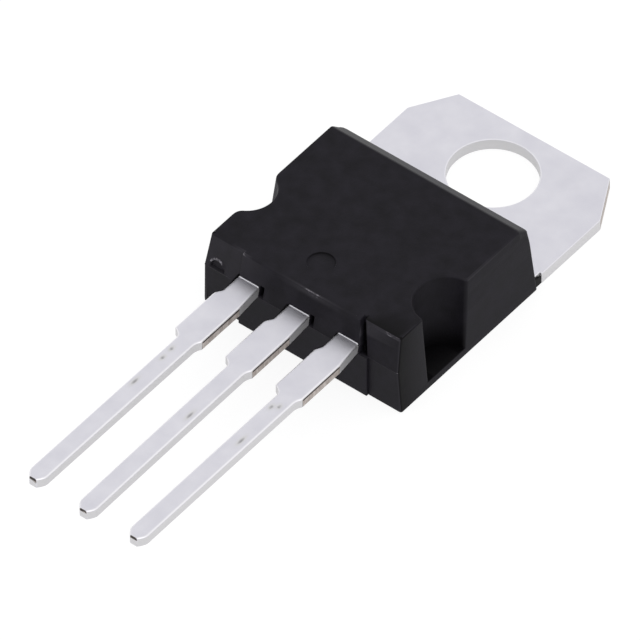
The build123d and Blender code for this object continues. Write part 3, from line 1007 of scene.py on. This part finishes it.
def body_surface():
    """The moulding: its rows closed by a flat back, and by a flat top that leaves room for the ejector
    disc.
    """
    z, inset, is_open, edge, flash = body_rows()
    outline = body_outline(z, inset, is_open)
    height = np.broadcast_to(z[:, None], outline.shape[:2])
    end = outline[..., 1] < LEAD_END_LIMIT
    pushed = outline[..., 1] + np.where(end, pad_marks(outline[..., 0], height) - flash[:, None], 0)
    points = np.stack([outline[..., 0], pushed, height], -1)
    half = base_half - z[:, None] * SIDE_DRAFT
    near_pad = np.exp(-((outline[..., 0] - WEAR_CENTRE) / WEAR_SPREAD) ** 2) * end
    corner = np.exp(-((outline[..., 0] - half + 0.02) / 0.06) ** 2) * end
    # The value holds real wear and painted light: pale painted highlights and near-black painted shade are
    # set below.
    wear_and_painted_light = edge[:, None] * (0.15 + 0.95 * near_pad) + 0.45 * (flash[:, None] > 0.004) * end + 0.8 * corner
    wear_and_painted_light = (
        wear_and_painted_light
        + 0.45 * smooth((-1.2 - outline[..., 0]) / 1.5) * (
            end & (height > parting_z) & (height < body_height - TOP_CLEAR)
        )
    )
    # Painted highlight: the sloped facet beside the groove at the top is made paler.
    root_limit = 3.71 - 0.7 * (body_height - height) / GUSSET_HEIGHT
    gusset = (
        end & (height > body_height - GUSSET_HEIGHT) & (outline[..., 0] > 2.9)
        & (outline[..., 0] < root_limit)
    )
    # Painted highlight: part of the gate's lip is made pale where it catches the light.
    lip = pad_marks(outline[..., 0], height) < -0.01
    wear_and_painted_light = np.maximum(
        wear_and_painted_light,
        np.where(
            gusset, GUSSET_PAINTED_HIGHLIGHT, np.where(lip & end & (outline[..., 0] < GATE_X + 0.24), GATE_LIP_PAINTED_HIGHLIGHT, -1)
        ),
    )
    spots = [
        (top_half - 0.15, end_face(body_height), 0.4), (top_half, end_base + 4.85, 0.45),
        (-PAD_LEFT + 0.05, end_face(body_height) - PAD_PROUD, 0.3),
    ]
    for spot_x, spot_y, size in spots:
        rubbed = np.exp(-((outline[..., 0] - spot_x) ** 2 + (outline[..., 1] - spot_y) ** 2) / size ** 2)
        wear_and_painted_light = np.maximum(wear_and_painted_light, 0.9 * rubbed * (height > body_height - SPOT_HEIGHT) * (height < body_height))
    below_edge = near_pad * smooth((height - body_height + 0.34) / 0.2) * (height < body_height - TOP_ROUND)
    wear_and_painted_light = np.maximum(wear_and_painted_light, UNDER_EDGE_WEAR * below_edge)
    in_notch = (
        (np.abs(outline[..., 0]) < half - 0.01) & (outline[..., 1] > end_base + NOTCH_CLEAR)
        & (outline[..., 1] < rear_y - NOTCH_CLEAR)
    )
    in_notch = in_notch & (height < body_height - TOP_CLEAR)
    # Painted highlight: the rear part of the left notch's wall is made paler where it faces the light.
    lit = in_notch & (outline[..., 0] < 0) & (outline[..., 1] > end_base + NOTCH_TO_END)
    wear_and_painted_light = np.where(lit, NOTCH_PAINTED_HIGHLIGHT, wear_and_painted_light)
    # Painted shade: the right notch darkens towards its bottom and its ledge.
    wear_and_painted_light = np.where(in_notch & (outline[..., 0] > 0), -0.25 - 0.75 * smooth((1.9 - height) / 1.5), wear_and_painted_light)
    # Painted shade in the slots beside the necks and in the groove right of the pad.
    sunk = end & (outline[..., 0] > -3.0) & (pushed > end_face(height) + 0.03)
    wear_and_painted_light = np.where(sunk, POCKET_SHADE, wear_and_painted_light)
    around = np.linspace(0, 2 * np.pi, 65)[:-1]
    radius = np.array(
        [EJECTOR_RADIUS, EJECTOR_RADIUS - 0.01, EJECTOR_RADIUS - 0.025, EJECTOR_RADIUS - 0.05, 0.4, 0.01]
    )
    sink = EJECTOR_DEPTH * np.array([0, 0.5, 1.0, 1.1, 0.85, 0.8])
    # Painted shade and painted highlight on the ejector disc's rim: one side darker, the other with a pale
    # glint.
    painted_rim_shade = np.array([0, -0.9, -1.0, -0.6, 0, 0])[:, None] * np.clip(np.sin(around - 0.4) + 0.2, 0, 1)
    painted_rim_glint = np.array([0, 1.2, 0, 0, 0, 0])[:, None] * np.clip(np.cos(around - 0.5) - 0.6, 0, 1) * 2.5
    disc = np.stack([
        EJECTOR_X + radius[:, None] * np.cos(around),
        end_base + EJECTOR_TO_END + radius[:, None] * np.sin(around),
        np.broadcast_to(body_height - sink[:, None], (len(radius), len(around))),
    ], -1)
    top = fill_between(points[-1], disc[0])
    # The webs take the full painted-shade value, near black.
    webs = resin_web(tab_half, rear_y - 0.1, ENTRY_NOTCH_LENGTH + 0.08, 0.12, 0.05, tab_thickness - 0.02)
    for axis_x in (-lead_pitch, 0, lead_pitch):
        webs += resin_web(
            axis_x - NECK_LEFT + 0.02, LEAD_EXIT + 0.15, -WEB_LENGTH, WEB_WIDTH, lead_bottom + 0.05, WEB_TOP
        )
    return [grid(points, wear_and_painted_light), top, grid(disc, painted_rim_shade + painted_rim_glint), cap(disc[-1]), cap(points[0]), *webs]


make_piece("moulding", body_surface(), compound, ["moulded_body"], flat_angle=32)

# %% [markdown]
# ## Inside the moulding
# The chips, their solder and the bonding wires keep their CAD shapes, because those are already right and
# the moulding hides them. They still get the finish of what they are, so that a cut view looks true.

# %% Finishes of the inner pieces
def simple_finish(name, dark, light, size_mm, roughness, metallic):
    """A plain finish with soft colour variation: noise of size_mm mixes two close colours."""
    material, tree, output = new_material(name)
    lumps = noise_on_object(tree, size_mm, 3.0)
    colour = mix_colour(tree, lumps, linear(dark), linear(light))
    bump = add_node(tree, "ShaderNodeBump", {"Height": lumps, "Strength": 0.1, "Distance": 0.01 * MM})
    shader = add_node(tree, "ShaderNodeBsdfPrincipled", {
        "Base Color": colour, "Roughness": roughness, "Metallic": metallic, "Normal": bump.outputs[0],
    })
    tree.links.new(shader.outputs[0], output.inputs["Surface"])
    return material


inner_finishes = {
    "die_solder": simple_finish("lead_silver_solder", "#8E8F94", "#A6A7AB", 0.3, 0.4, 1.0),
    "die": simple_finish("silicon_chip", "#3A3C46", "#4A4D59", 0.8, 0.25, 0.6),
    "wire": simple_finish("aluminium_bonding_wire", "#C4C5C8", "#D6D7D9", 0.2, 0.35, 1.0),
}
for name, node in frame["nodes"].items():
    kind = next((word for word in ("die_solder", "wire", "die") if word in name), None)
    if kind:
        node.material_slots[0].material = inner_finishes[kind]
        print(name, "gets", inner_finishes[kind].name)
